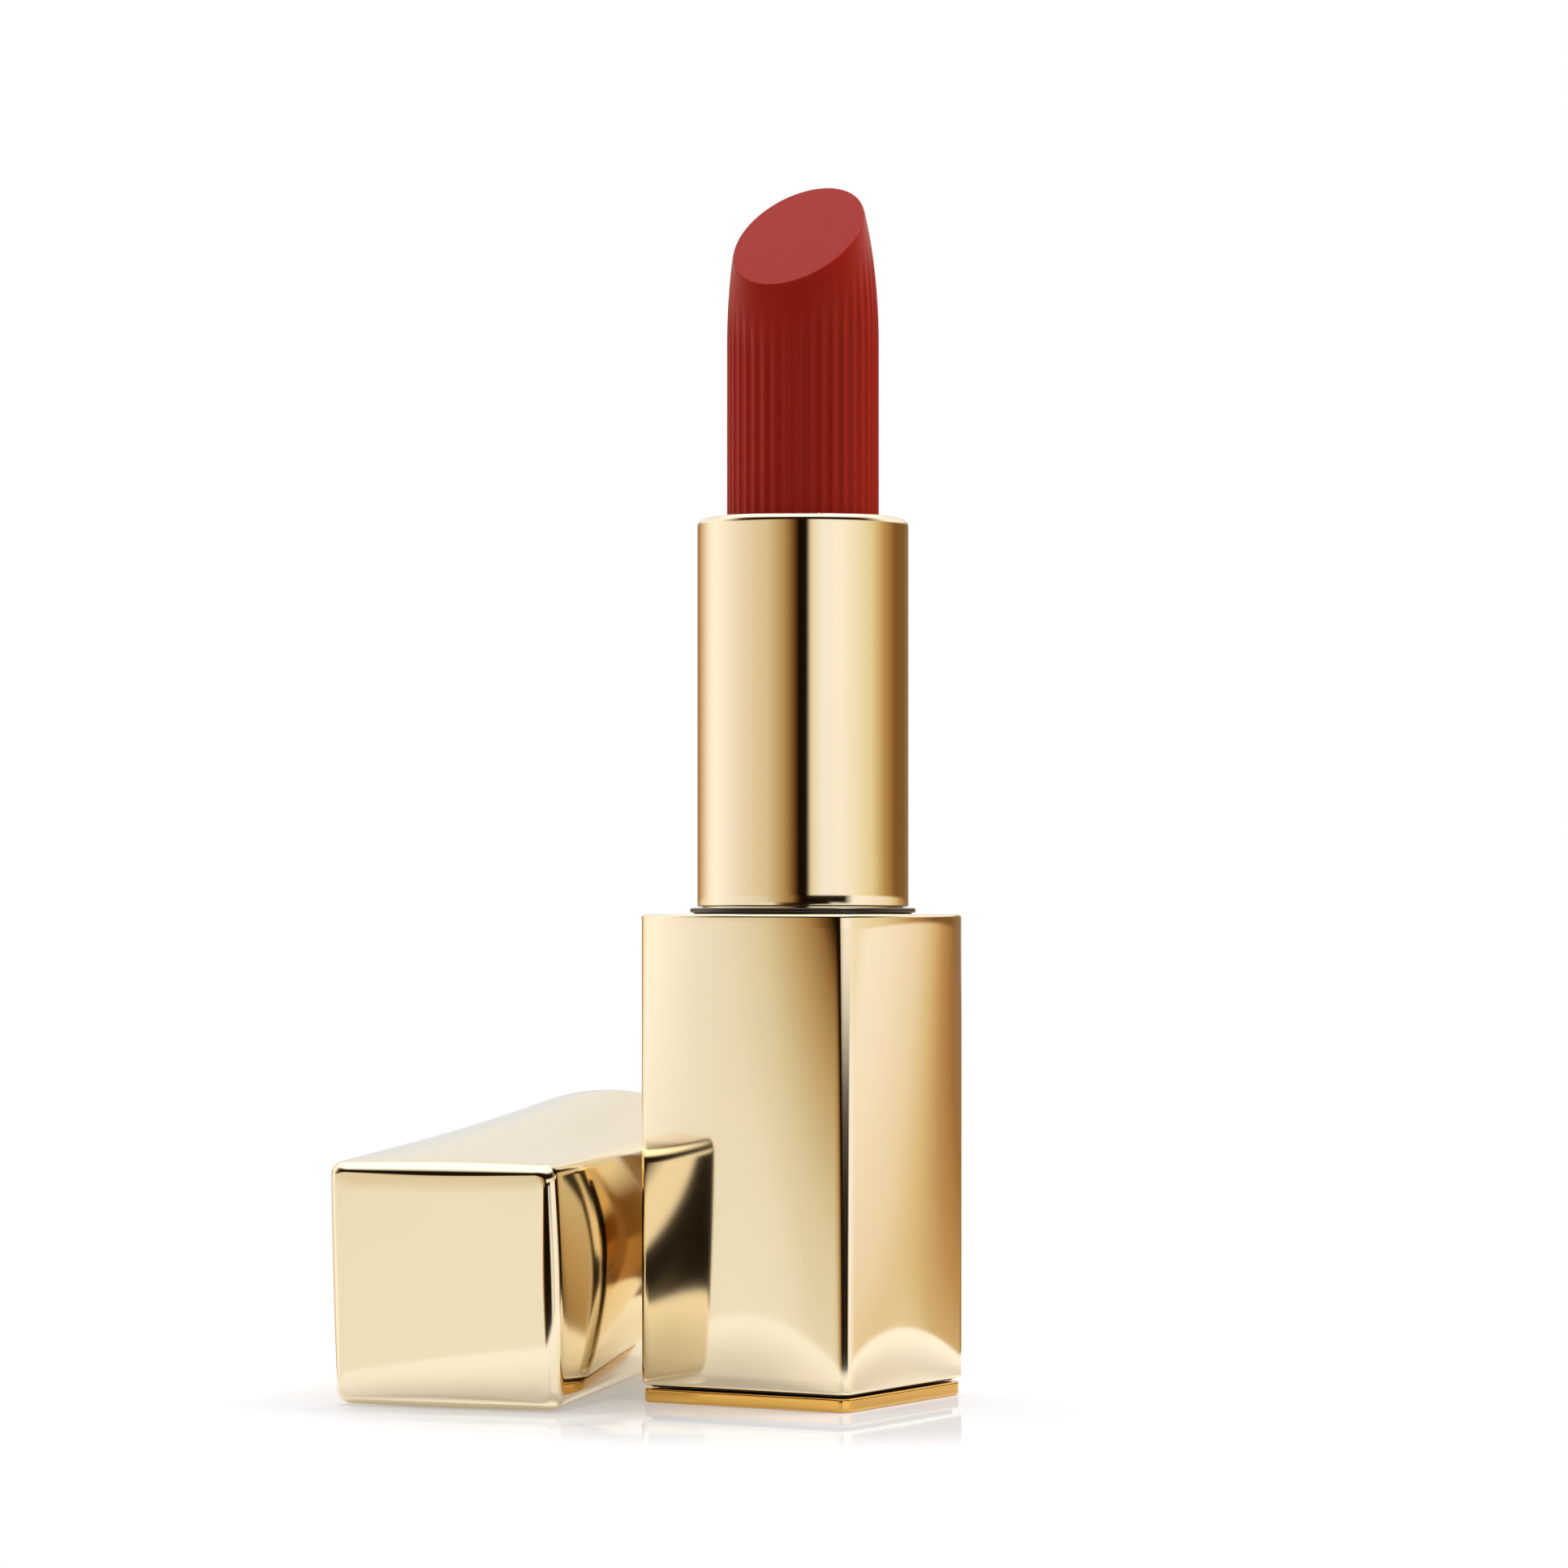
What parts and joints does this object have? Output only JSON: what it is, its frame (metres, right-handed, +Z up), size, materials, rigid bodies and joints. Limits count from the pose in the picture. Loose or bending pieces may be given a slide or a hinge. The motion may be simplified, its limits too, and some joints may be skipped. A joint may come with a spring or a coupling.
{
  "type": "lipstick case",
  "caption": "Gold swivel lipstick case, square foot flowing to a round seam, with the red bullet wound up and the cap lying beside it.",
  "frame": {"origin": "centre of the underside of the case's foot, on the table", "axes": "+Z up along the case's axis; the case's flat sides face X and Y; the cap lies on the -X side"},
  "size_m": [0.0493, 0.0398, 0.0969],
  "materials": {
    "gold_shell": "polished, gold coloured",
    "gold_foot": "polished, gold coloured",
    "gold_tube": "polished, gold coloured",
    "gold_cap": "polished, gold coloured",
    "plug_plastic": "matt near-black",
    "collar_plastic": "glossy dark brown",
    "insert_plastic": "moulded, natural",
    "body_plastic": "moulded, natural",
    "spiral_plastic": "moulded, natural",
    "cup_plastic": "moulded, natural",
    "liner_plastic": "moulded, natural",
    "ring_rubber": "matt",
    "weight_steel": "plain zinc-plated",
    "cap_weight_steel": "plain zinc-plated",
    "bullet_wax": "satin wax, brick red"
  },
  "bodies": {
    "base": {"base_shell": "gold_shell", "foot_plate": "gold_foot", "base_plug": "plug_plastic", "base_weight": "weight_steel", "base_insert": "insert_plastic", "collar": "collar_plastic", "inner_body": "body_plastic", "drag_ring": "ring_rubber"},
    "tube": {"outer_tube": "gold_tube", "spiral_sleeve": "spiral_plastic"},
    "carriage": {"bullet_cup": "cup_plastic", "bullet": "bullet_wax"},
    "cap": {"cap_shell": "gold_cap", "cap_weight": "cap_weight_steel", "cap_liner": "liner_plastic"}
  },
  "joints": [
    {"name": "tube_twist", "type": "hinge", "parent": "base", "child": "tube", "pos_m": [0, 0, 0.04], "axis": [0, 0, 1], "range_deg": [-450, 0]},
    {"name": "bullet_slide", "type": "slide", "parent": "base", "child": "carriage", "axis": [0, 0, 1], "range_m": [-0.0279, 0]},
    {"name": "cap_lift", "type": "slide", "parent": "base", "child": "cap", "axis": [0, 0, 1], "range_m": [0, 0.12]}
  ],
  "couplings": [
    {"joint": "bullet_slide", "follows": "tube_twist", "m_per_rad": 0.0035523}
  ]
}
